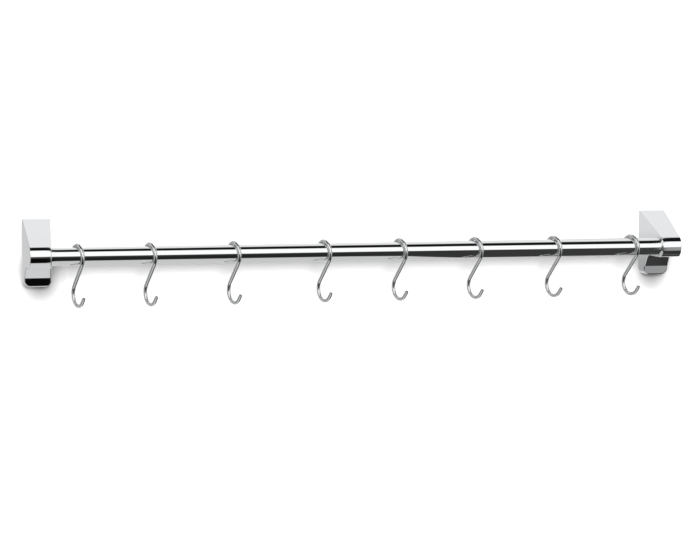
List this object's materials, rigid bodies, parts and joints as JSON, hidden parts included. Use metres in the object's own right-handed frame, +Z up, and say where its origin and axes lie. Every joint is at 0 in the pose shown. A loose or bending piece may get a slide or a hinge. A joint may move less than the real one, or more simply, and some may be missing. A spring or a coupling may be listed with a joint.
{
  "type": "wall hook rack",
  "caption": "Wall rail of bright chromed tube on wedge-shaped end brackets, carrying loose S-hooks that slide along it.",
  "frame": {"origin": "on the wall face, midway between the two brackets, at the height of the rail's axis, which is the centre of the screw-hole pattern", "axes": "+X along the rail to the right as seen from the room, +Y into the wall, +Z up"},
  "size_m": [0.595, 0.0573, 0.0746],
  "materials": {
    "rail_chrome": "mirror-bright chrome on drawn steel tube",
    "bracket_chrome": "mirror-bright chrome on a zinc casting",
    "hook_chrome": "bright chrome on bent steel wire",
    "plate_steel": "zinc-plated pressed steel",
    "screw_steel": "black-oxide socket set screw"
  },
  "bodies": {
    "rack": {"rail_tube": "rail_chrome", "bracket_left": "bracket_chrome", "bracket_right": "bracket_chrome", "wall_plate_left": "plate_steel", "wall_plate_right": "plate_steel", "plate_screw_left": "screw_steel", "plate_screw_right": "screw_steel", "rail_screw_left": "screw_steel", "rail_screw_right": "screw_steel"},
    "hook_1": {"hook_1": "hook_chrome"},
    "hook_2": {"hook_2": "hook_chrome"},
    "hook_3": {"hook_3": "hook_chrome"},
    "hook_4": {"hook_4": "hook_chrome"},
    "hook_5": {"hook_5": "hook_chrome"},
    "hook_6": {"hook_6": "hook_chrome"},
    "hook_7": {"hook_7": "hook_chrome"},
    "hook_8": {"hook_8": "hook_chrome"}
  },
  "joints": [
    {"name": "hook_1_slide", "type": "slide", "parent": "rack", "child": "hook_1", "axis": [1, 0, 0], "range_m": [-0.015, 0.028]},
    {"name": "hook_2_slide", "type": "slide", "parent": "rack", "child": "hook_2", "axis": [1, 0, 0], "range_m": [-0.028, 0.034]},
    {"name": "hook_3_slide", "type": "slide", "parent": "rack", "child": "hook_3", "axis": [1, 0, 0], "range_m": [-0.034, 0.037]},
    {"name": "hook_4_slide", "type": "slide", "parent": "rack", "child": "hook_4", "axis": [1, 0, 0], "range_m": [-0.037, 0.031]},
    {"name": "hook_5_slide", "type": "slide", "parent": "rack", "child": "hook_5", "axis": [1, 0, 0], "range_m": [-0.031, 0.032]},
    {"name": "hook_6_slide", "type": "slide", "parent": "rack", "child": "hook_6", "axis": [1, 0, 0], "range_m": [-0.032, 0.034]},
    {"name": "hook_7_slide", "type": "slide", "parent": "rack", "child": "hook_7", "axis": [1, 0, 0], "range_m": [-0.034, 0.034]},
    {"name": "hook_8_slide", "type": "slide", "parent": "rack", "child": "hook_8", "axis": [1, 0, 0], "range_m": [-0.034, 0.02]}
  ]
}
